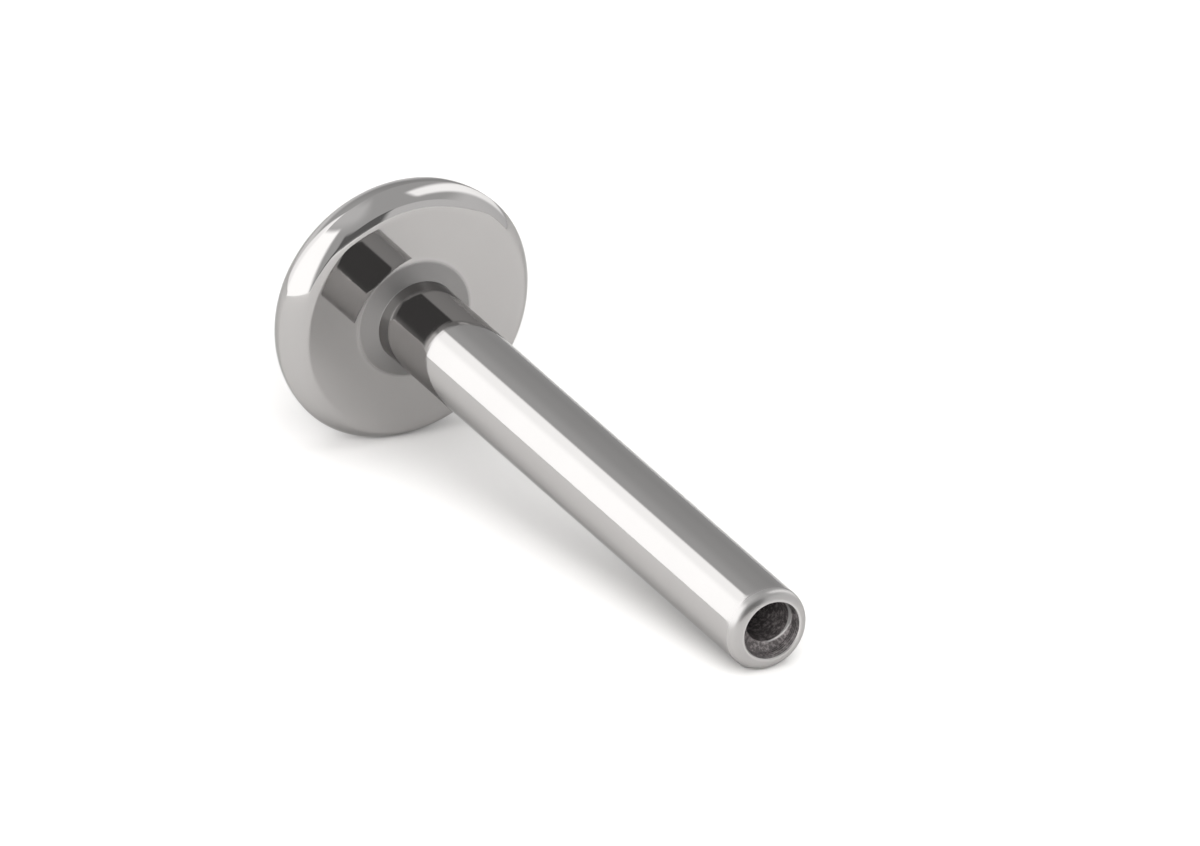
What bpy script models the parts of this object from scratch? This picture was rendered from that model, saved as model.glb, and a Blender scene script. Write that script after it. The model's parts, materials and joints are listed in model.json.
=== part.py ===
"""Labret stud: a flat-backed body-jewellery post with an internal thread, turned from one bar.

Metres, +Z up.  The stud lies on the ground plane as it would by itself: the lowest point of the
disc's rim and the lower edge of the tip both touch Z = 0.  The post's axis is in the XZ plane and
the open tip points along +X, a little downwards.  The origin is on the ground plane, under the
middle of the stud's box.
"""

from collections import namedtuple
from math import asin, atan2, ceil, cos, hypot, pi, radians, sin, tan

import bmesh
import bpy
from mathutils import Matrix, Vector

MM = 0.001

# Driving dimensions
POST_DIAMETER = 1.2 * MM
POST_LENGTH = 9.95 * MM
DISC_DIAMETER = 3.8 * MM
BACK_ROUNDING = 0.56 * MM
TIP_ROUNDING = 0.15 * MM

# Low cone round the post's root, and the fillet between it and the post
ROOT_DIAMETER = 1.8 * MM
ROOT_SLOPE = radians(15)
ROOT_FILLET_RADIUS = 0.10 * MM

# Mouth and thread of the blind bore; the drilled hole is a little off the post's axis
MOUTH_DIAMETER = 0.85 * MM
COUNTERBORE_DIAMETER = 0.80 * MM
COUNTERBORE_DEPTH = 0.14 * MM
COUNTERBORE_FLOOR_SLOPE = radians(30)
THREAD_MINOR_DIAMETER = 0.66 * MM
THREAD_MAJOR_DIAMETER = 0.80 * MM
THREAD_PITCH = 0.225 * MM
THREAD_TOP_DEPTH = 0.24 * MM
THREAD_DEPTH = 2.2 * MM
THREAD_START_ANGLE = radians(150)
FLANK_ANGLE = radians(30)
DRILL_DEPTH = 2.6 * MM
DRILL_OFFSET = 0.065 * MM
DRILL_OFFSET_ANGLE = radians(135)
DRILL_POINT_ANGLE = radians(118)

# The rim from the flat inner face to the disc's edge: a chain of tangent arcs, each given as the
# surface's slope at its end, its radius and its steps.  They make a low bevel, a crisp edge, a
# crowned chamfer and a small corner.
RimArc = namedtuple("RimArc", "end_slope radius steps")
RIM_ARCS = (
    RimArc(radians(18), 0.22 * MM, 3),
    RimArc(radians(23), 1.10 * MM, 1),
    RimArc(radians(45), 0.05 * MM, 3),
    RimArc(radians(66), 0.74 * MM, 4),
    RimArc(radians(90), 0.05 * MM, 4),
)

# Facets
TURNED_SIDES = 64
THREAD_SIDES = 32
BACK_ARC_STEPS = 8
FILLET_ARC_STEPS = 5
TIP_ARC_STEPS = 5
POST_STATIONS = 6
MERGE_DISTANCE = 0.0005 * MM
SMOOTH_ANGLE = radians(30)

# How far the tap's core stays inside the drilled hole, and where its sweep starts to be whole
TAP_CLEARANCE = 0.02 * MM
TAP_FIRST_WHOLE_TURN = 1.1 * THREAD_PITCH

POST_RADIUS = POST_DIAMETER / 2
DISC_RADIUS = DISC_DIAMETER / 2


def clear_scene():
    for obj in list(bpy.data.objects):
        bpy.data.objects.remove(obj, do_unlink=True)


def new_collection(name):
    collection = bpy.data.collections.new(name)
    bpy.context.scene.collection.children.link(collection)
    return collection


def polished_metal():
    material = bpy.data.materials.new("polished_titanium")
    material.use_nodes = True
    shader = material.node_tree.nodes["Principled BSDF"]
    shader.inputs["Base Color"].default_value = (0.56, 0.54, 0.52, 1.0)
    shader.inputs["Metallic"].default_value = 1.0
    shader.inputs["Roughness"].default_value = 0.06
    return material


def arc(centre, radius, start, end, steps):
    """Points (x, z) on an arc about centre, both ends included."""
    angles = [start + (end - start) * i / steps for i in range(steps + 1)]
    return [(centre[0] + radius * cos(a), centre[1] + radius * sin(a)) for a in angles]


def rim_profile():
    """The rim's points (x, z) from the edge of the flat inner face to the disc's outermost line."""
    points = [(0.0, 0.0)]
    slope = 0.0
    for rim_arc in RIM_ARCS:
        x, z = points[-1]
        centre = (x - rim_arc.radius * sin(slope), z - rim_arc.radius * cos(slope))
        points += arc(centre, rim_arc.radius, pi / 2 - slope, pi / 2 - rim_arc.end_slope, rim_arc.steps)[1:]
        slope = rim_arc.end_slope
    flat_radius = DISC_RADIUS - points[-1][0]
    return [(flat_radius + x, z) for x, z in points]


def root_profile():
    """The post's root, from the top of its fillet down to the flat inner face."""
    arc_start = (POST_RADIUS + ROOT_FILLET_RADIUS * (1 - sin(ROOT_SLOPE)), 0.0)
    cone_height = (ROOT_DIAMETER / 2 - arc_start[0]) * tan(ROOT_SLOPE)
    centre = (POST_RADIUS + ROOT_FILLET_RADIUS, cone_height + ROOT_FILLET_RADIUS * cos(ROOT_SLOPE))
    fillet = arc(centre, ROOT_FILLET_RADIUS, pi, 3 * pi / 2 - ROOT_SLOPE, FILLET_ARC_STEPS)
    return fillet + [(ROOT_DIAMETER / 2, 0.0)]


def stud_profile():
    """Half section of the stud: up the mouth of the bore, then down the outside to the back.

    The disc's inner face is at z = 0 and the tip at z = POST_LENGTH.
    """
    top = POST_LENGTH
    counterbore_radius = COUNTERBORE_DIAMETER / 2
    counterbore_z = top - COUNTERBORE_DEPTH
    mouth = [
        (0.0, counterbore_z - counterbore_radius * tan(COUNTERBORE_FLOOR_SLOPE)),
        (counterbore_radius, counterbore_z),
        (MOUTH_DIAMETER / 2, top),
    ]
    tip = arc((POST_RADIUS - TIP_ROUNDING, top - TIP_ROUNDING), TIP_ROUNDING, pi / 2, 0, TIP_ARC_STEPS)
    shaft_top = top - TIP_ROUNDING
    root = root_profile()
    shaft = [
        (POST_RADIUS, shaft_top + (root[0][1] - shaft_top) * i / POST_STATIONS)
        for i in range(1, POST_STATIONS)
    ]
    rim = rim_profile()
    widest_z = rim[-1][1]
    back_rim = arc((DISC_RADIUS - BACK_ROUNDING, widest_z), BACK_ROUNDING, 0, -pi / 2, BACK_ARC_STEPS)
    return mouth + tip + shaft + root + rim + back_rim[1:] + [(0.0, widest_z - BACK_ROUNDING)]


def drill_profile():
    """Half section of the tap drill, from its shank above the tip down to its point."""
    radius = THREAD_MINOR_DIAMETER / 2
    shank_top = POST_LENGTH - COUNTERBORE_DEPTH / 2
    shoulder = POST_LENGTH - DRILL_DEPTH
    point = shoulder - radius / tan(DRILL_POINT_ANGLE / 2)
    return [(0.0, shank_top), (radius, shank_top), (radius, shoulder), (0.0, point)]


def tap_profile():
    """One pitch of the tap's tooth: root, flank, crest, flank, seen at +X from top to bottom."""
    core = THREAD_MINOR_DIAMETER / 2 - TAP_CLEARANCE
    crest = THREAD_MAJOR_DIAMETER / 2
    flank = (crest - core) * tan(FLANK_ANGLE)
    flat = (THREAD_PITCH - 2 * flank) / 2
    return [
        (core, THREAD_PITCH),
        (core, THREAD_PITCH - flat),
        (crest, THREAD_PITCH - flat - flank),
        (crest, flank),
        (core, 0.0),
    ]


def drill_offset():
    return Vector((DRILL_OFFSET * cos(DRILL_OFFSET_ANGLE), DRILL_OFFSET * sin(DRILL_OFFSET_ANGLE), 0.0))


def line_object(name, points, collection):
    mesh = bpy.data.meshes.new(name)
    vertices = [(x, 0.0, z) for x, z in points]
    edges = [(i, i + 1) for i in range(len(points) - 1)]
    mesh.from_pydata(vertices, edges, [])
    obj = bpy.data.objects.new(name, mesh)
    collection.objects.link(obj)
    return obj


def turn(obj, steps, turns=1, rise=0.0):
    """Sweep the profile round Z, once for a turned shape or rising for a thread."""
    screw = obj.modifiers.new("Turn", "SCREW")
    screw.axis = "Z"
    screw.steps = steps
    screw.render_steps = steps
    screw.iterations = turns
    screw.screw_offset = rise
    screw.use_merge_vertices = True
    screw.merge_threshold = MERGE_DISTANCE
    screw.use_smooth_shade = True


def subtract(obj, cutter):
    boolean = obj.modifiers.new("Cut " + cutter.name, "BOOLEAN")
    boolean.operation = "DIFFERENCE"
    boolean.solver = "EXACT"
    boolean.object = cutter


def evaluated_mesh(obj):
    bpy.context.view_layer.update()
    depsgraph = bpy.context.evaluated_depsgraph_get()
    return bpy.data.meshes.new_from_object(obj.evaluated_get(depsgraph), depsgraph=depsgraph)


def hide_cutter(obj):
    obj.hide_render = True
    obj.display_type = "WIRE"


def add_drill(collection):
    drill = line_object("tap_drill", drill_profile(), collection)
    turn(drill, THREAD_SIDES)
    drill.location = drill_offset()
    hide_cutter(drill)
    return drill


def add_tap(collection):
    """A screw of the thread's own form, cut square at both ends so that it is closed."""
    turns = ceil(THREAD_DEPTH / THREAD_PITCH) + 2
    tap = line_object("thread_tap", tap_profile(), collection)
    turn(tap, THREAD_SIDES, turns, THREAD_PITCH)
    swept = evaluated_mesh(tap)
    tap.modifiers.clear()
    body = bmesh.new()
    body.from_mesh(swept)
    bmesh.ops.remove_doubles(body, verts=body.verts, dist=MERGE_DISTANCE)
    low = TAP_FIRST_WHOLE_TURN
    cuts = ((low, -1), (low + THREAD_DEPTH - THREAD_TOP_DEPTH, 1))
    for z, side in cuts:
        geometry = body.verts[:] + body.edges[:] + body.faces[:]
        cut = bmesh.ops.bisect_plane(
            body, geom=geometry, plane_co=(0, 0, z), plane_no=(0, 0, side), clear_outer=True
        )
        rim = [item for item in cut["geom_cut"] if isinstance(item, bmesh.types.BMEdge)]
        bmesh.ops.contextual_create(body, geom=rim)
    bmesh.ops.recalc_face_normals(body, faces=body.faces)
    body.to_mesh(swept)
    body.free()
    tap.data = swept
    tap.location = drill_offset() + Vector((0.0, 0.0, POST_LENGTH - THREAD_DEPTH - low))
    tap.rotation_euler.z = THREAD_START_ANGLE
    hide_cutter(tap)
    return tap


def lying_tilt():
    """How far the tip dips below the horizontal when the rim and the tip both touch the ground.

    The ground is the common tangent of the rim's outer corner and the tip's rounding.
    """
    corner_radius = RIM_ARCS[-1].radius
    corner_z = rim_profile()[-1][1]
    across = (DISC_RADIUS - corner_radius) - (POST_RADIUS - TIP_ROUNDING)
    along = POST_LENGTH - TIP_ROUNDING - corner_z
    difference = corner_radius - TIP_ROUNDING
    return atan2(across, along) + asin(difference / hypot(across, along))


def lay_down(mesh):
    """Turn the stud from upright to lying, with one side of its facets flat on the ground."""
    half_side = Matrix.Rotation(pi / TURNED_SIDES, 4, "Z")
    mesh.transform(Matrix.Rotation(pi / 2 + lying_tilt(), 4, "Y") @ half_side)
    corners = [vertex.co for vertex in mesh.vertices]
    low = Vector([min(corner[axis] for corner in corners) for axis in range(3)])
    high = Vector([max(corner[axis] for corner in corners) for axis in range(3)])
    mesh.transform(Matrix.Translation((-(low.x + high.x) / 2, -(low.y + high.y) / 2, -low.z)))


def build_stud(parts, cutters):
    stud = line_object("labret_stud", stud_profile(), parts)
    turn(stud, TURNED_SIDES)
    subtract(stud, add_drill(cutters))
    subtract(stud, add_tap(cutters))
    mesh = evaluated_mesh(stud)
    stud.modifiers.clear()
    lay_down(mesh)
    mesh.shade_smooth()
    mesh.set_sharp_from_angle(angle=SMOOTH_ANGLE)
    mesh.materials.clear()
    mesh.materials.append(polished_metal())
    stud.data = mesh


def main():
    clear_scene()
    parts = new_collection("labret_stud")
    cutters = new_collection("cutters")
    build_stud(parts, cutters)


main()
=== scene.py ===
"""Labret stud: the polished look of a flat-backed, internally threaded post, lying on a pale table.

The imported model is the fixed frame: its mounts give the place of the disc's back, the tip and the
post's axis.  Each operator below makes one piece or the studio round it; the panel lists them.
"""

import json
from collections import namedtuple
from math import atan, cos, degrees, hypot, pi, radians, sin, tan

import bpy
from bpy.props import FloatProperty, FloatVectorProperty, PointerProperty
from bpy.types import Operator, Panel, PropertyGroup
from mathutils import Matrix, Vector


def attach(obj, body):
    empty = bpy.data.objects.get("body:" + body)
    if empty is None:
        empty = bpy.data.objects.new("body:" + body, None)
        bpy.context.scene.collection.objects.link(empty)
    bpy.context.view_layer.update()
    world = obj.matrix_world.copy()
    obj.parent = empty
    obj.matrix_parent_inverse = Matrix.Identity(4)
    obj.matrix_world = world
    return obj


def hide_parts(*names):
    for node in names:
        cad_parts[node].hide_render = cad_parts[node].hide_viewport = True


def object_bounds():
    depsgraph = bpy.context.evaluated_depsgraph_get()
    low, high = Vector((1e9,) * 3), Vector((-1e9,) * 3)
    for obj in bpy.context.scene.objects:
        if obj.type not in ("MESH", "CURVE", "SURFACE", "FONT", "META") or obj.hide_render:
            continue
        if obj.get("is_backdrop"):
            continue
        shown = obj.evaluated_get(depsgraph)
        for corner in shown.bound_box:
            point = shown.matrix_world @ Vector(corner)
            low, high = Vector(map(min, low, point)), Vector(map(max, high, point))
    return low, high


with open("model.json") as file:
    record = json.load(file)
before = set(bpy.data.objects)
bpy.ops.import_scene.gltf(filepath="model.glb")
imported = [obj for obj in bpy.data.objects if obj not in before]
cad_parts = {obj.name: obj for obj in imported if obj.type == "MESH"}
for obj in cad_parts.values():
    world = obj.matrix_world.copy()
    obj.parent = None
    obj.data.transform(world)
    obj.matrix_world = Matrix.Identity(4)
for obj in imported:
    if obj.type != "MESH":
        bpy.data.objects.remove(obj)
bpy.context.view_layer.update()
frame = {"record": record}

bl_info = {
    "name": "Labret Stud",
    "version": (1, 0, 0),
    "blender": (4, 5, 0),
    "location": "View3D > Sidebar > Labret Stud",
    "description": "Turns a polished, internally threaded labret stud and lights it on a pale table",
    "category": "Add Mesh",
}

MM = 0.001
NODE = "labret_stud"
BODY = "root"

# The image that the camera frames, and where the disc's centre sits in it
IMAGE_SIZE = (1200, 846)
DISC_CENTRE_PIXEL = (414.0, 318.1)

# Detail of the turned surfaces
TURNED_SIDES = 256
BORE_SIDES = 128
BACK_STEPS = 28
FILLET_STEPS = 12
TIP_STEPS = 14
HOLDING_GAP = 0.02 * MM
MERGE_DISTANCE = 0.00005 * MM
SMOOTH_ANGLE = radians(30)

# The bore: which way it is off the post's axis, its turned ripples, ledge, drill point and thread
BORE_DIRECTION = radians(140)
RIPPLE_HEIGHT = 0.0025 * MM
RIPPLES = 5
FLOOR_SLOPE = radians(30)
LEDGE_DROP = 0.02 * MM
LEDGE_CHAMFER = 0.012 * MM
DRILL_POINT_ANGLE = radians(118)
THREAD_ANGLE = radians(60)
THREAD_OVERLAP = 0.02 * MM
THREAD_TOP = 0.24 * MM
THREAD_START = radians(150)
SPARE_TURNS = 3
CUT_AT_TURN = 1.1

# The rim from the flat inner face to the disc's edge: a chain of tangent arcs that make a low bevel,
# a crisp edge, a crowned chamfer and a small corner, each with the surface's slope at its end
RimArc = namedtuple("RimArc", "end_slope radius steps")
RIM_ARCS = (
    RimArc(radians(20), 0.20 * MM, 10),
    RimArc(radians(25.5), 0.80 * MM, 6),
    RimArc(radians(45), 0.05 * MM, 8),
    RimArc(radians(66), 0.764 * MM, 18),
    RimArc(radians(90), 0.05 * MM, 8),
)

# Lamps that light the table but aren't mirrored in the metal: direction, distance and side, and how
# much each adds to the table's brightness
Lamp = namedtuple("Lamp", "name azimuth elevation distance side brightness")
LAMPS = (
    Lamp("ceiling", 0.0, 90.0, 0.6, 3.0, 0.24),
    Lamp("overhead lamp", 300.0, 86.0, 0.6, 0.7, 0.42),
    Lamp("tip side lamp", 5.0, 45.0, 0.6, 0.5, 0.18),
    Lamp("camera lamp", 330.0, 20.0, 0.6, 0.44, 0.42),
)

Softbox = namedtuple("Softbox", "name left right low high side_softness end_softness radiance")

# The studio: the room's own light, and panels in degrees of azimuth (from +X towards +Y) and elevation
ROOM_RADIANCE = 0.76
PANELS = (
    Softbox("backdrop", 150.0, 205.0, -40.0, 18.0, 10.0, 12.0, 1.55),
    Softbox("right wall", -30.0, 130.0, -40.0, 34.0, 20.0, 14.0, 1.10),
    Softbox("upper left", 205.0, 335.0, 52.0, 80.0, 30.0, 20.0, 1.08),
    Softbox("room corner", 122.0, 172.0, 14.0, 58.0, 30.0, 24.0, 0.64),
    Softbox("key", 197.0, 304.0, -3.0, 50.0, 7.0, 6.0, 2.52),
    Softbox("key flap", 197.0, 212.0, -3.0, 50.0, 7.0, 6.0, 2.2),
    Softbox("camera side", -38.0, 13.0, 0.0, 40.0, 4.0, 6.0, 0.23),
)

# A straight lamp, seen as a band along a great circle between two directions
Tube = namedtuple(
    "Tube", "name start_azimuth start_elevation end_azimuth end_elevation width softness radiance"
)
TUBE = Tube("right strip", 118.0, 4.0, 50.0, 60.0, 13.0, 6.0, 2.2)

TABLE_SIDE = 1.6
TABLE_ROUGHNESS = 0.7
CLIP_RANGE = 10

# Where the lip's satin starts and is full, in tip roundings under the tip's face
LIP_START = 1.5
LIP_FULL = 0.7

# Patterns in the metals: their scale per metre, and how far they change the colour and the polish,
# and the strength of the painted shade on the root and of the painted highlights in the mouth
CLOUD_SCALE = 900.0
CLOUD_TINT = 0.03
STREAK_SCALE = 2500.0
STREAK_STRETCH = (1.0, 1.0, 14.0)
STREAK_ROUGHNESS = 0.05
STREAK_BUMP = 0.02
GRAIN_SCALE = 16000.0
GRAIN_BUMP = 0.6
GRAIN_ROUGHNESS = 0.3
SMOOTHEST_GRAIN = 0.25
BUMP_DISTANCE = 0.01 * MM
SPOT_STOPS = [(0.45, 0.0), (0.72, 1.0)]
SPOT_SHADES = (0.4, 1.8)
# Painted shade: the root's colour is darkened to this share of the metal's
ROOT_PAINTED_SHADE = 0.58
# Painted highlight: the mouth's broken edge is brightened by this factor
MOUTH_PAINTED_HIGHLIGHT = 1.3
TURNING_PITCH = 0.035 * MM
# Painted highlight: turned rings on the countersink's wall brighten towards the polished colour by this
# share
TURNING_PAINTED_HIGHLIGHT = 0.35

# Where a mixing node has its two colours and their mix
MIX_COLOURS = (6, 7)
MIX_RESULT = 2


def mount(name):
    """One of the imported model's mounts."""
    return next(m for m in frame["record"]["mounts"] if m["name"] == name)


POST_AXIS = Vector(mount("disc_inner_face")["axis"]).normalized()
BACK_CENTRE = Vector(mount("disc_back_face")["pos_m"])
POST_AND_DISC = (Vector(mount("tip_face")["pos_m"]) - BACK_CENTRE).dot(POST_AXIS)


def length(name, description, default):
    return FloatProperty(
        name=name, description=description, default=default, min=0, unit="LENGTH", precision=6
    )


def angle(name, description, default):
    return FloatProperty(name=name, description=description, default=default, subtype="ANGLE")


def factor(name, description, default):
    return FloatProperty(
        name=name, description=description, default=default, min=0, max=1, subtype="FACTOR"
    )


def colour(name, description, default):
    return FloatVectorProperty(
        name=name, description=description, default=default, size=3, min=0, max=1, subtype="COLOR"
    )


class StudSizes(PropertyGroup):
    post_diameter: length("Post diameter", "Gauge of the post", 1.2 * MM)
    disc_diameter: length("Disc diameter", "Across the flat back", 3.8 * MM)
    back_rounding: length("Back rounding", "Rounding of the rim behind the disc's widest line", 0.556 * MM)
    root_diameter: length("Root diameter", "Foot of the low cone round the post", 1.72 * MM)
    root_slope: angle("Root slope", "Slope of the cone", radians(24))
    root_sweep: length("Root sweep", "Radius between the cone and the flat face", 0.28 * MM)
    root_fillet: length("Root fillet", "Between the cone and the post", 0.015 * MM)
    tip_diameter: length("Tip diameter", "The post at its slightly slimmer tip", 1.18 * MM)
    tip_rounding: length("Tip rounding", "Rounding of the open tip", 0.18 * MM)
    mouth_diameter: length("Mouth diameter", "Bore at the tip's face", 0.82 * MM)
    mouth_edge: length("Mouth edge", "Width of the bright broken edge round the mouth", 0.015 * MM)
    mouth_offset: length("Mouth offset", "How far the countersink is off the post's axis", 0.028 * MM)
    countersink_diameter: length("Countersink diameter", "Foot of the countersink's wall", 0.78 * MM)
    countersink_depth: length("Countersink depth", "Depth of the countersink's wall", 0.16 * MM)
    thread_minor: length("Thread minor diameter", "Over the thread's crests", 0.63 * MM)
    thread_major: length("Thread major diameter", "Over the thread's roots", 0.80 * MM)
    thread_pitch: length("Thread pitch", "Rise of the thread in one turn", 0.225 * MM)
    thread_depth: length("Thread depth", "Depth of the last full thread", 2.2 * MM)
    drill_depth: length("Drill depth", "Depth of the drilled hole's shoulder", 2.6 * MM)
    drill_offset: length("Drill offset", "How far the drilled hole is off the post's axis", 0.095 * MM)


class StudFinish(PropertyGroup):
    metal: colour("Metal", "Colour of the polished metal", (0.399, 0.390, 0.385))
    edge: colour("Edge", "Tint of the metal at grazing angles", (0.6, 0.6, 0.6))
    # The bore's dark colour is painted shade in the recess; its spots vary at random
    bore: colour("Bore", "Colour of the dull metal in the bore", (0.16, 0.145, 0.145))
    bore_metallic: factor("Bore metallic", "Less than 1 where grime dulls the bore", 0.6)
    roughness: factor("Roughness", "Roughness of the polish", 0.05)
    root_roughness: factor("Root roughness", "Extra roughness of the ground root", 0.35)
    lip_roughness: factor("Lip roughness", "Extra roughness of the tip's lip", 0.25)


class StudioSettings(PropertyGroup):
    azimuth: angle("Azimuth", "Camera's direction round the stud", radians(61.2))
    elevation: angle("Elevation", "Camera's height over the table", radians(20.1))
    lens: FloatProperty(name="Lens", description="Focal length in millimetres", default=600.0, min=1)
    scale: FloatProperty(
        name="Image scale", description="Pixels in a millimetre at the disc", default=74.1, min=1
    )
    table: colour("Table", "Colour of the table", (0.89, 0.88, 0.87))


# Modelling helpers


def deselect_all():
    if bpy.context.object and bpy.context.object.mode != "OBJECT":
        bpy.ops.object.mode_set(mode="OBJECT")
    bpy.ops.object.select_all(action="DESELECT")


def make_active(obj):
    deselect_all()
    obj.select_set(True)
    bpy.context.view_layer.objects.active = obj


def arc(centre, radius, start, end, steps):
    """Points (radius, height) on an arc about centre, both ends included."""
    angles = [start + (end - start) * i / steps for i in range(steps + 1)]
    return [(centre[0] + radius * cos(a), centre[1] + radius * sin(a)) for a in angles]


def draw_profile(name, points):
    """A chain of edges at +X through (radius, height) points: one vertex, extruded again and again."""
    deselect_all()
    bpy.ops.mesh.primitive_plane_add(size=MM)
    obj = bpy.context.object
    obj.name = obj.data.name = name
    bpy.ops.object.mode_set(mode="EDIT")
    bpy.ops.mesh.select_all(action="SELECT")
    bpy.ops.mesh.merge(type="CENTER")
    bpy.ops.transform.translate(value=(points[0][0], 0, points[0][1]))
    for (r0, z0), (r1, z1) in zip(points, points[1:]):
        bpy.ops.mesh.extrude_region_move(TRANSFORM_OT_translate={"value": (r1 - r0, 0, z1 - z0)})
    bpy.ops.object.mode_set(mode="OBJECT")
    return obj


def close_up():
    """Merge seams and poles and turn the faces outwards, in edit mode."""
    bpy.ops.mesh.select_all(action="SELECT")
    bpy.ops.mesh.remove_doubles(threshold=MERGE_DISTANCE)
    bpy.ops.mesh.normals_make_consistent(inside=False)


def turn(name, points, sides):
    """A solid of revolution about Z."""
    obj = draw_profile(name, points)
    bpy.ops.object.mode_set(mode="EDIT")
    bpy.ops.mesh.select_all(action="SELECT")
    bpy.ops.mesh.spin(steps=sides, angle=2 * pi, center=(0, 0, 0), axis=(0, 0, 1))
    close_up()
    bpy.ops.object.mode_set(mode="OBJECT")
    return obj


def cut(obj, cutter):
    """Subtract the cutter from obj and remove it."""
    make_active(obj)
    boolean = obj.modifiers.new("Cut", "BOOLEAN")
    boolean.operation = "DIFFERENCE"
    boolean.solver = "EXACT"
    boolean.object = cutter
    bpy.ops.object.modifier_apply(modifier=boolean.name)
    bpy.data.objects.remove(cutter, do_unlink=True)


# Shader helpers


class Socket:
    """A shader value that can be used in Python expressions."""

    def __init__(self, tree, link):
        self.tree = tree
        self.link = link

    def maths(self, operation, *values):
        return self.tree.node("ShaderNodeMath", {"operation": operation}, dict(enumerate(values)))

    def __add__(self, other):
        return self.maths("ADD", self, other)

    def __sub__(self, other):
        return self.maths("SUBTRACT", self, other)

    def __rsub__(self, other):
        return self.maths("SUBTRACT", other, self)

    def __mul__(self, other):
        return self.maths("MULTIPLY", self, other)

    def maths_of(self, operation):
        return self.maths(operation, self)

    @classmethod
    def constant(cls, tree, value):
        made = tree.tree.nodes.new("ShaderNodeValue")
        made.outputs[0].default_value = value
        return cls(tree, made.outputs[0])


class ShaderTree:
    """Builds the nodes of one material or world."""

    def __init__(self, owner):
        owner.use_nodes = True
        self.tree = owner.node_tree
        self.tree.nodes.clear()

    def node(self, kind, settings, inputs, output=0):
        """Any node: its settings are made first, then its sockets take values or links."""
        made = self.tree.nodes.new(kind)
        for key, value in settings.items():
            if key == "stops":
                self.set_stops(made.color_ramp, value)
            else:
                setattr(made, key, value)
        for key, value in inputs.items():
            socket = made.inputs[key]
            if isinstance(value, Socket):
                self.tree.links.new(value.link, socket)
            else:
                socket.default_value = value
        return Socket(self, made.outputs[output]) if made.outputs else made

    def mix(self, share, low, high):
        """From the low colour at 0 to the high one at 1; each is a plain colour or a Socket."""
        inputs = {"Factor": share}
        for key, value in zip(MIX_COLOURS, (low, high)):
            inputs[key] = value if isinstance(value, Socket) else (*value, 1.0)
        return self.node("ShaderNodeMix", {"data_type": "RGBA"}, inputs, MIX_RESULT)

    def surface(self, inputs):
        """A Principled shader as the material's surface."""
        shader = self.node("ShaderNodeBsdfPrincipled", {}, inputs)
        self.node("ShaderNodeOutputMaterial", {}, {"Surface": shader})

    @staticmethod
    def set_stops(ramp, stops):
        while len(ramp.elements) < len(stops):
            ramp.elements.new(0.5)
        for element, (position, value) in zip(ramp.elements, stops):
            element.position = position
            element.color = (value, value, value, 1.0)


def in_post_frame(tree):
    """Object coordinates turned and centred so that Z runs up the post from the disc's inner face."""
    place = stud_matrix().inverted()
    coordinates = tree.node("ShaderNodeTexCoord", {}, {}, "Object")
    settings = {"vector_type": "POINT"}
    inputs = {"Vector": coordinates, "Location": place.to_translation(), "Rotation": place.to_euler()}
    return tree.node("ShaderNodeMapping", settings, inputs)


def stud_matrix():
    """From the upright stud, disc's inner face at the origin, to its place in the frame."""
    sizes = bpy.context.scene.stud_sizes
    across = Vector((0, 1, 0))
    down = across.cross(POST_AXIS)
    turned = Matrix((down, across, POST_AXIS)).transposed().to_4x4()
    return Matrix.Translation(BACK_CENTRE + POST_AXIS * disc_thickness(sizes)) @ turned


def ramp(tree, value, zero_at, one_at):
    """0 at one value and 1 at the other, with a straight slope between them."""
    return tree.node("ShaderNodeMapRange", {}, {"Value": value, "From Min": zero_at, "From Max": one_at})


def radius_and_height(tree, place, offset):
    """Distance from the axis, or from the bore's own axis at that offset, and height above the disc."""
    off_axis = bore_shift(offset)
    x, y, z = [tree.node("ShaderNodeSeparateXYZ", {}, {"Vector": place}, axis) for axis in "XYZ"]
    x, y = x - off_axis.x, y - off_axis.y
    return (x * x + y * y).maths_of("SQRT"), z


def bore_shift(offset):
    """The way from the post's axis to the axis of a cut that is off it."""
    return Matrix.Rotation(BORE_DIRECTION, 3, "Z") @ Vector((offset, 0, 0))


def root_mask(tree, place):
    """1 on the low cone round the post's root and on its fillet, 0 on the rest."""
    sizes = bpy.context.scene.stud_sizes
    radius, z = radius_and_height(tree, place, 0.0)
    foot = sizes.root_diameter / 2
    soft = 0.02 * MM
    inside = ramp(tree, radius, foot + soft, foot - soft * 2)
    above = ramp(tree, z, -soft / 2, 0.0)
    height = (sizes.root_diameter - sizes.post_diameter) / 2 * tan(sizes.root_slope)
    below = ramp(tree, z, height + soft, height)
    return inside * above * below


def lip_masks(tree, place):
    """1 on the tip's rounded lip and 0 below it, and 1 on the edge round the mouth that gets a painted
    highlight.
    """
    sizes = bpy.context.scene.stud_sizes
    tip = tip_height(sizes)
    radius, z = radius_and_height(tree, place, sizes.mouth_offset)
    lip = ramp(tree, z, tip - sizes.tip_rounding * LIP_START, tip - sizes.tip_rounding * LIP_FULL)
    edge = sizes.mouth_diameter / 2 + sizes.mouth_edge
    bright = ramp(tree, radius, edge + sizes.mouth_edge * 2, edge)
    return lip, lip * bright


def ledge_painted_highlight(tree, place):
    """Where the painted highlights go: 1 on the drilled hole's broken edge, and less on fine turned rings
    of the countersink's wall.
    """
    sizes = bpy.context.scene.stud_sizes
    floor = tip_height(sizes) - sizes.countersink_depth
    radius, z = radius_and_height(tree, place, sizes.drill_offset)
    hole = sizes.thread_minor / 2
    soft = 0.01 * MM
    edge = ramp(tree, radius, hole + soft * 2.5, hole + soft) * ramp(tree, radius, hole - soft, hole)
    below = ramp(tree, z, floor, floor - soft)
    above = ramp(tree, z, floor - soft * 7, floor - soft * 5)
    rings = ramp(tree, (z * (2 * pi / TURNING_PITCH)).maths_of("SINE"), 0.5, 1.0)
    wall = ramp(tree, z, floor, floor + soft)
    return edge * below * above + rings * wall * TURNING_PAINTED_HIGHLIGHT


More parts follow.
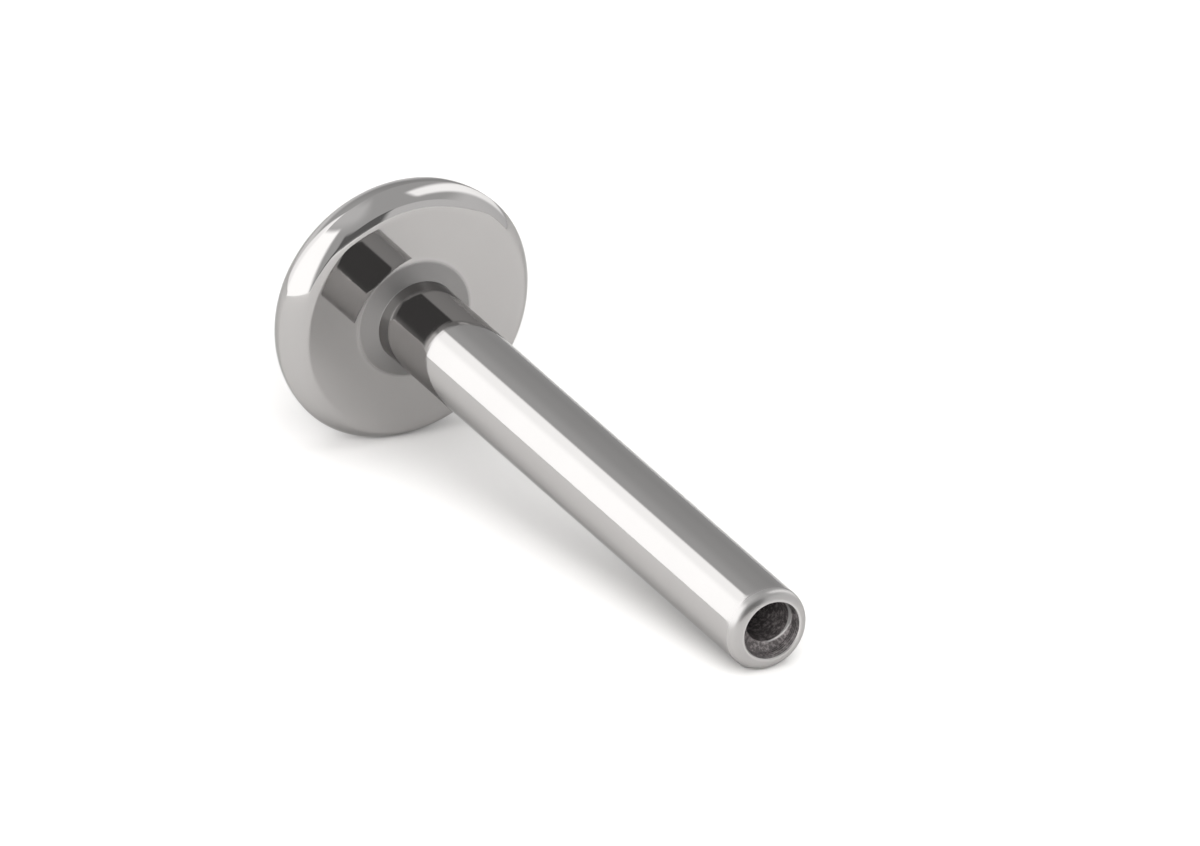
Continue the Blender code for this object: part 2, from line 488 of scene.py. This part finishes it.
def polished_metal(finish):
    """Mirror polish with faint clouds and streaks, satin and painted shade on the root, satin on the tip's
    lip and a painted highlight round the mouth.
    """
    material = bpy.data.materials.new("polished_titanium")
    tree = ShaderTree(material)
    place = in_post_frame(tree)
    cloud = tree.node("ShaderNodeTexNoise", {}, {"Vector": place, "Scale": CLOUD_SCALE, "Detail": 3.0})
    stretch = tree.node("ShaderNodeMapping", {}, {"Vector": place, "Scale": STREAK_STRETCH})
    streak = tree.node("ShaderNodeTexNoise", {}, {"Vector": stretch, "Scale": STREAK_SCALE, "Detail": 4.0})
    root = root_mask(tree, place)
    lip, bright = lip_masks(tree, place)
    polish = streak * STREAK_ROUGHNESS + (finish.roughness - STREAK_ROUGHNESS / 2)
    metal = Vector(finish.metal)
    tint = tree.mix(cloud, metal * (1 - CLOUD_TINT), metal * (1 + CLOUD_TINT))
    # The root's cone and fillet get a darker colour: painted shade round the post's foot
    tint = tree.mix(root, tint, metal * ROOT_PAINTED_SHADE)
    bump = {"Strength": STREAK_BUMP, "Distance": BUMP_DISTANCE, "Height": streak}
    tree.surface(
        {
            # The mouth's broken edge is brightened: a painted highlight
            "Base Color": tree.mix(bright, tint, metal * MOUTH_PAINTED_HIGHLIGHT),
            "Metallic": 1.0,
            "Roughness": polish + root * finish.root_roughness + lip * finish.lip_roughness,
            "Specular Tint": (*finish.edge, 1.0),
            "Normal": tree.node("ShaderNodeBump", {}, bump),
        }
    )
    return material


def bore_metal(finish):
    """Dull, spotted metal darkened as painted shade in the bore, with painted highlights where the drilled
    hole's edge is broken and on turned rings.
    """
    material = bpy.data.materials.new("drilled_titanium")
    tree = ShaderTree(material)
    place = in_post_frame(tree)
    pattern = {"Vector": place, "Scale": GRAIN_SCALE, "Detail": 4.0, "Roughness": 0.7}
    grain = tree.node("ShaderNodeTexNoise", {}, pattern)
    spots = tree.node("ShaderNodeValToRGB", {"stops": SPOT_STOPS}, {"Fac": grain})
    # The bore's dark colour, painted shade, in random spots
    low, high = [Vector(finish.bore) * shade for shade in SPOT_SHADES]
    bump = {"Strength": GRAIN_BUMP, "Distance": BUMP_DISTANCE, "Height": grain}
    tree.surface(
        {
            # The hole's broken edge and the turned rings take the polished colour: painted highlights on
            # the dark bore
            "Base Color": tree.mix(ledge_painted_highlight(tree, place), tree.mix(spots, low, high), finish.metal),
            "Metallic": finish.bore_metallic,
            "Roughness": grain * GRAIN_ROUGHNESS + SMOOTHEST_GRAIN,
            "Normal": tree.node("ShaderNodeBump", {}, bump),
        }
    )
    return material


# The stud


def rim_profile(s):
    """From the edge of the flat inner face to the disc's widest line."""
    points = [(0.0, 0.0)]
    slope = 0.0
    for rim_arc in RIM_ARCS:
        r, z = points[-1]
        centre = (r - rim_arc.radius * sin(slope), z - rim_arc.radius * cos(slope))
        start, end = pi / 2 - slope, pi / 2 - rim_arc.end_slope
        points += arc(centre, rim_arc.radius, start, end, rim_arc.steps)[1:]
        slope = rim_arc.end_slope
    flat_radius = s.disc_diameter / 2 - points[-1][0]
    return [(flat_radius + r, z) for r, z in points]


def disc_thickness(s):
    """From the flat back to the flat inner face."""
    return s.back_rounding - rim_profile(s)[-1][1]


def tip_height(s):
    """From the disc's inner face to the tip's face."""
    return POST_AND_DISC - disc_thickness(s)


def root_profile(s):
    """From the flat inner face up the low cone and its fillet to the post."""
    post = s.post_diameter / 2
    foot = s.root_diameter / 2
    arc_foot = post + s.root_fillet * (1 - sin(s.root_slope))
    cone_height = (foot - arc_foot) * tan(s.root_slope)
    centre = (post + s.root_fillet, cone_height + s.root_fillet * cos(s.root_slope))
    sweep = s.root_sweep
    sweep_centre = (foot + sweep * tan(s.root_slope / 2), sweep)
    return [
        *arc(sweep_centre, sweep, 3 * pi / 2, 3 * pi / 2 - s.root_slope, FILLET_STEPS),
        (arc_foot + HOLDING_GAP, cone_height - HOLDING_GAP * tan(s.root_slope)),
        *arc(centre, s.root_fillet, 3 * pi / 2 - s.root_slope, pi, FILLET_STEPS),
        (post, centre[1] + HOLDING_GAP),
    ]


def outside_profile(s):
    """From the middle of the back, round the disc, up the post and over the closed tip."""
    rim = rim_profile(s)
    back_centre = (s.disc_diameter / 2 - s.back_rounding, rim[-1][1])
    back_z = back_centre[1] - s.back_rounding
    tip_centre = (s.tip_diameter / 2 - s.tip_rounding, tip_height(s) - s.tip_rounding)
    return (
        [(0.0, back_z), (back_centre[0] - HOLDING_GAP, back_z)]
        + arc(back_centre, s.back_rounding, -pi / 2, 0, BACK_STEPS)
        + rim[-2::-1]
        + [(rim[0][0] - HOLDING_GAP, 0.0)]
        + root_profile(s)
        + [(s.tip_diameter / 2, tip_centre[1] - HOLDING_GAP)]
        + arc(tip_centre, s.tip_rounding, 0, pi / 2, TIP_STEPS)
        + [(0.0, tip_height(s))]
    )


def countersink_profile(s):
    """The countersink's cutter: the mouth's broken edge, a rippled wall and a rippled floor."""
    tip = tip_height(s)
    mouth = s.mouth_diameter / 2
    foot = s.countersink_diameter / 2
    depth = s.countersink_depth
    edge = s.mouth_edge
    points = [(0.0, tip + edge), (mouth + edge * 2, tip + edge), (mouth, tip - edge)]
    steps = RIPPLES * 2
    for i in range(1, steps):
        share = i / steps
        ripple = RIPPLE_HEIGHT if i % 2 else -RIPPLE_HEIGHT
        points.append((mouth + (foot - mouth) * share + ripple, tip - edge - (depth - edge) * share))
    points.append((foot, tip - depth))
    for i in range(1, steps):
        radius = foot * (1 - i / (steps * 2))
        ripple = RIPPLE_HEIGHT if i % 2 else 0.0
        points.append((radius, tip - depth - (foot - radius) * tan(FLOOR_SLOPE) + ripple))
    points.append((0.0, tip - depth - foot * tan(FLOOR_SLOPE)))
    return points


def drill_profile(s):
    """The tap drill with a small chamfer that breaks the hole's edge."""
    tip = tip_height(s)
    radius = s.thread_minor / 2
    edge_top = tip - s.countersink_depth - LEDGE_DROP
    shoulder = tip - s.drill_depth
    return [
        (0.0, tip),
        (radius + LEDGE_CHAMFER * 3, tip),
        (radius + LEDGE_CHAMFER, edge_top),
        (radius, edge_top - LEDGE_CHAMFER * 2),
        (radius, shoulder),
        (0.0, shoulder - radius / tan(DRILL_POINT_ANGLE / 2)),
    ]


def thread_tap(s):
    """A screw of the thread's own form, closed by a flat cut at each end."""
    tip = tip_height(s)
    core = s.thread_minor / 2 - THREAD_OVERLAP
    crest = s.thread_major / 2
    flank = (crest - core) * tan(THREAD_ANGLE / 2)
    flat = (s.thread_pitch - 2 * flank) / 2
    tooth = [
        (core, 0.0),
        (crest, flank),
        (crest, flank + flat),
        (core, 2 * flank + flat),
        (core, s.thread_pitch),
    ]
    tap = draw_profile("tap", tooth)
    turns = int(s.thread_depth / s.thread_pitch) + SPARE_TURNS
    bpy.ops.object.mode_set(mode="EDIT")
    bpy.ops.mesh.select_all(action="SELECT")
    bpy.ops.mesh.screw(steps=BORE_SIDES, turns=turns, center=(0, 0, 0), axis=(0, 0, 1))
    close_up()
    low = s.thread_pitch * CUT_AT_TURN
    high = low + s.thread_depth - THREAD_TOP
    for height, side in ((low, -1), (high, 1)):
        bpy.ops.mesh.select_all(action="SELECT")
        bpy.ops.mesh.bisect(
            plane_co=(0, 0, height), plane_no=(0, 0, side), use_fill=True, clear_outer=True
        )
    close_up()
    bpy.ops.object.mode_set(mode="OBJECT")
    tap.location.z = tip - s.thread_depth - low
    tap.rotation_euler.z = THREAD_START
    bpy.ops.object.transform_apply()
    return tap


class STUD_OT_body(Operator):
    """Turn the disc, post and tip, and cut the threaded bore"""

    bl_idname = "stud.body"
    bl_label = "Stud"

    def execute(self, context):
        sizes = context.scene.stud_sizes
        stud = turn("stud", outside_profile(sizes), TURNED_SIDES)
        cuts = (
            (turn("countersink", countersink_profile(sizes), TURNED_SIDES), sizes.mouth_offset),
            (turn("drill", drill_profile(sizes), BORE_SIDES), sizes.drill_offset),
            (thread_tap(sizes), sizes.drill_offset),
        )
        for cutter, offset in cuts:
            cutter.location += bore_shift(offset)
            context.view_layer.update()
            cut(stud, cutter)
        make_active(stud)
        bpy.ops.object.shade_smooth_by_angle(angle=SMOOTH_ANGLE)
        finish = context.scene.stud_finish
        stud.data.materials.clear()
        stud.data.materials.append(polished_metal(finish))
        stud.data.materials.append(bore_metal(finish))
        self.assign_bore(stud, sizes)
        stud.matrix_world = stud_matrix()
        bpy.ops.object.transform_apply()
        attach(stud, BODY)
        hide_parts(NODE)
        return {"FINISHED"}

    @staticmethod
    def assign_bore(stud, sizes):
        """Give the dull metal, darkened as painted shade, to the countersink below the mouth's edge and to
        all that lies deeper.
        """
        tip = tip_height(sizes)
        floor = tip - sizes.countersink_depth
        below_edge = tip - sizes.mouth_edge * 0.9
        wall_radius = sizes.mouth_diameter / 2 + sizes.mouth_edge * 0.3
        hole_radius = sizes.thread_major / 2 + sizes.drill_offset + THREAD_OVERLAP
        mouth_centre = bore_shift(sizes.mouth_offset).xy
        for face in stud.data.polygons:
            centre = face.center
            in_wall = centre.z < below_edge and (centre.xy - mouth_centre).length < wall_radius
            in_hole = centre.z < floor and centre.xy.length < hole_radius
            face.material_index = int(centre.z > tip / 2 and (in_wall or in_hole))


# The studio


def camera_direction(studio):
    """The unit vector from the stud to the camera."""
    a, e = studio.azimuth, studio.elevation
    return Vector((sin(a) * cos(e), -cos(a) * cos(e), sin(e)))


def towards(azimuth, elevation):
    """The unit vector towards a direction given in degrees."""
    a, e = radians(azimuth), radians(elevation)
    return Vector((cos(a) * cos(e), sin(a) * cos(e), sin(e)))


def tube_edges(tube):
    """Where a tube's band starts and ends, in degrees from the axis of its great circle."""
    return 90 - tube.width / 2, 90 + tube.width / 2


def lamp_power(lamp, albedo):
    """Watts that give the table the lamp's brightness, from how much of its sky the lamp fills."""
    half = lamp.side / 2 / lamp.distance
    share = half / hypot(1, half)
    fill = 4 / pi * share * atan(share) * sin(radians(lamp.elevation))
    return lamp.brightness / (albedo * fill) * pi * lamp.side**2


class Studio:
    """The light that reaches the stud from each direction, as radiance against azimuth and elevation."""

    def __init__(self, tree):
        self.tree = tree
        direction = tree.node("ShaderNodeTexCoord", {}, {}, "Generated")
        x, y, z = [tree.node("ShaderNodeSeparateXYZ", {}, {"Vector": direction}, axis) for axis in "XYZ"]
        self.azimuth = y.maths("ARCTAN2", y, x).maths_of("DEGREES")
        self.elevation = z.maths_of("ARCSINE").maths_of("DEGREES")
        self.direction = direction
        self.radiance = Socket.constant(tree, ROOM_RADIANCE)

    def between(self, value, low, high, softness):
        """1 from low to high and 0 outside, with soft edges."""
        half = (high - low) / 2
        inputs = {
            "Value": (value - (low + half)).maths_of("ABSOLUTE"),
            "From Min": half - softness / 2,
            "From Max": half + softness / 2,
            "To Min": 1.0,
            "To Max": 0.0,
        }
        return self.tree.node("ShaderNodeMapRange", {"interpolation_type": "SMOOTHSTEP"}, inputs)

    def hang(self, panel):
        """Put a panel in front of what hangs already."""
        middle = (panel.left + panel.right) / 2
        turned = self.azimuth.maths("WRAP", self.azimuth - middle, 180.0, -180.0)
        half = (panel.right - panel.left) / 2
        across = self.between(turned, -half, half, panel.side_softness)
        along = self.between(self.elevation, panel.low, panel.high, panel.end_softness)
        self.cover(across * along, panel.radiance)

    def angle_to(self, axis):
        """Degrees between a direction and an axis."""
        settings = {"operation": "DOT_PRODUCT"}
        inputs = {0: self.direction, 1: axis}
        cosine = self.tree.node("ShaderNodeVectorMath", settings, inputs, "Value")
        return cosine.maths_of("ARCCOSINE").maths_of("DEGREES")

    def hang_tube(self, tube):
        """Put a straight lamp in front of what hangs already."""
        start = towards(tube.start_azimuth, tube.start_elevation)
        end = towards(tube.end_azimuth, tube.end_elevation)
        half = degrees(start.angle(end)) / 2
        from_pole = self.angle_to(start.cross(end).normalized())
        from_middle = self.angle_to((start + end).normalized())
        across = self.between(from_pole, *tube_edges(tube), tube.softness)
        along = self.between(from_middle, -half, half, tube.softness)
        self.cover(across * along, tube.radiance)

    def cover(self, mask, radiance):
        """Replace the radiance where the mask is 1."""
        self.radiance = self.radiance * (1 - mask) + mask * radiance


class STUD_OT_studio(Operator):
    """Lay the table, hang the softboxes and set up the camera"""

    bl_idname = "stud.studio"
    bl_label = "Studio"

    def execute(self, context):
        studio = context.scene.stud_studio
        self.lay_table(studio)
        self.light()
        self.hang_lamps(studio)
        self.place_camera(context, studio)
        context.scene.view_settings.view_transform = "Standard"
        return {"FINISHED"}

    @staticmethod
    def lay_table(studio):
        """A pale square table under the stud's lowest point."""
        deselect_all()
        bpy.ops.mesh.primitive_plane_add(size=TABLE_SIDE, location=(0, 0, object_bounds()[0].z))
        table = bpy.context.object
        table.name = table.data.name = "table"
        material = bpy.data.materials.new("table")
        tree = ShaderTree(material)
        tree.surface({"Base Color": (*studio.table, 1.0), "Roughness": TABLE_ROUGHNESS})
        table.data.materials.append(material)
        table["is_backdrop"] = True

    @staticmethod
    def light():
        """Softboxes that the metal mirrors, in front of a white backdrop for the camera."""
        world = bpy.data.worlds.new("studio")
        bpy.context.scene.world = world
        tree = ShaderTree(world)
        studio = Studio(tree)
        for panel in PANELS:
            studio.hang(panel)
        studio.hang_tube(TUBE)
        seen = tree.node("ShaderNodeLightPath", {}, {}, "Is Camera Ray")
        strength = studio.radiance * (1 - seen) + seen
        background = tree.node("ShaderNodeBackground", {}, {"Color": (1, 1, 1, 1), "Strength": strength})
        tree.node("ShaderNodeOutputWorld", {}, {"Surface": background})
        world.cycles_visibility.diffuse = False

    @staticmethod
    def hang_lamps(studio):
        """Soft square lamps, all turned to the stud."""
        for lamp in LAMPS:
            direction = towards(lamp.azimuth, lamp.elevation)
            data = bpy.data.lights.new(lamp.name, "AREA")
            data.size = lamp.side
            data.energy = lamp_power(lamp, max(studio.table))
            light = bpy.data.objects.new(lamp.name, data)
            bpy.context.scene.collection.objects.link(light)
            light.location = direction * lamp.distance
            light.rotation_euler = direction.to_track_quat("Z", "Y").to_euler()
            light.visible_camera = False
            light.visible_glossy = False

    @staticmethod
    def place_camera(context, studio):
        """A long lens, placed so that the disc's centre falls on its own pixel of the image."""
        sizes = context.scene.stud_sizes
        back = camera_direction(studio)
        right = Vector((cos(studio.azimuth), sin(studio.azimuth), 0))
        up = back.cross(right)
        disc_centre = BACK_CENTRE + POST_AXIS * disc_thickness(sizes)
        offset = Vector(DISC_CENTRE_PIXEL) - Vector(IMAGE_SIZE) / 2
        aim = disc_centre - (right * offset.x - up * offset.y) / studio.scale * MM
        data = bpy.data.cameras.new("camera")
        data.lens = studio.lens
        focal_pixels = studio.lens / data.sensor_width * IMAGE_SIZE[0]
        distance = focal_pixels / studio.scale * MM
        camera = bpy.data.objects.new("camera", data)
        context.scene.collection.objects.link(camera)
        camera.location = aim + back * distance
        camera.rotation_euler = Matrix((right, up, back)).transposed().to_euler()
        data.clip_start = distance / CLIP_RANGE
        data.clip_end = distance * CLIP_RANGE
        context.scene.camera = camera


class STUD_PT_panel(Panel):
    """Lists the stud's pieces and the studio"""

    bl_idname = "STUD_PT_panel"
    bl_label = "Labret Stud"
    bl_space_type = "VIEW_3D"
    bl_region_type = "UI"
    bl_category = "Labret Stud"

    def draw(self, context):
        for operator in (STUD_OT_body, STUD_OT_studio):
            self.layout.operator(operator.bl_idname)
        for group in (context.scene.stud_sizes, context.scene.stud_finish, context.scene.stud_studio):
            box = self.layout.box()
            for name in group.__annotations__:
                box.prop(group, name)


CLASSES = (StudSizes, StudFinish, StudioSettings, STUD_OT_body, STUD_OT_studio, STUD_PT_panel)


def register():
    for cls in CLASSES:
        bpy.utils.register_class(cls)
    bpy.types.Scene.stud_sizes = PointerProperty(type=StudSizes)
    bpy.types.Scene.stud_finish = PointerProperty(type=StudFinish)
    bpy.types.Scene.stud_studio = PointerProperty(type=StudioSettings)


def unregister():
    del bpy.types.Scene.stud_sizes
    del bpy.types.Scene.stud_finish
    del bpy.types.Scene.stud_studio
    for cls in reversed(CLASSES):
        bpy.utils.unregister_class(cls)


def main():
    register()
    bpy.ops.stud.body()
    bpy.ops.stud.studio()


if __name__ == "__main__":
    main()
